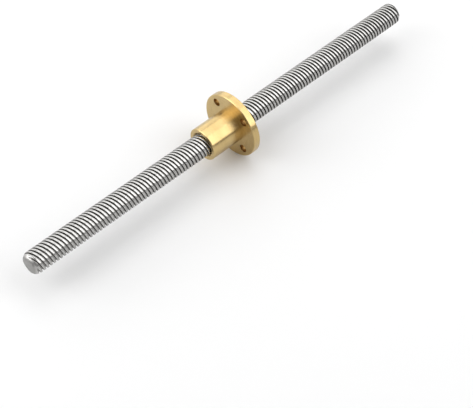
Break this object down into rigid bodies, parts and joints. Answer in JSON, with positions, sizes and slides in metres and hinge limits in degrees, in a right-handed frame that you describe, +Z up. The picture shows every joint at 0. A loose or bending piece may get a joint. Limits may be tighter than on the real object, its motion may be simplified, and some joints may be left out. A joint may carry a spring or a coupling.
{
  "type": "trapezoidal lead screw with flanged nut",
  "caption": "Right-hand multi-start trapezoidal lead screw, threaded from end to end, with a round flanged brass nut that travels along it.",
  "frame": {"origin": "middle of the screw's length, at the level of the lowest point of the nut's flange", "axes": "+X along the screw from its front end, which the nut's barrel faces, to its far end; +Z up; the screw's axis lies level, half a flange above the origin"},
  "size_m": [0.25, 0.0356, 0.0355],
  "materials": {
    "screw_steel": "bright rolled thread crests with fine streaks, darker grooves",
    "nut_brass": "bright turned brass with fine turning marks"
  },
  "bodies": {
    "screw": {"lead_screw": "screw_steel"},
    "nut": {"flange_nut": "nut_brass"}
  },
  "joints": [
    {"name": "nut_travel", "type": "slide", "parent": "screw", "child": "nut", "axis": [1, 0, 0], "range_m": [-0.1, 0.11]}
  ]
}
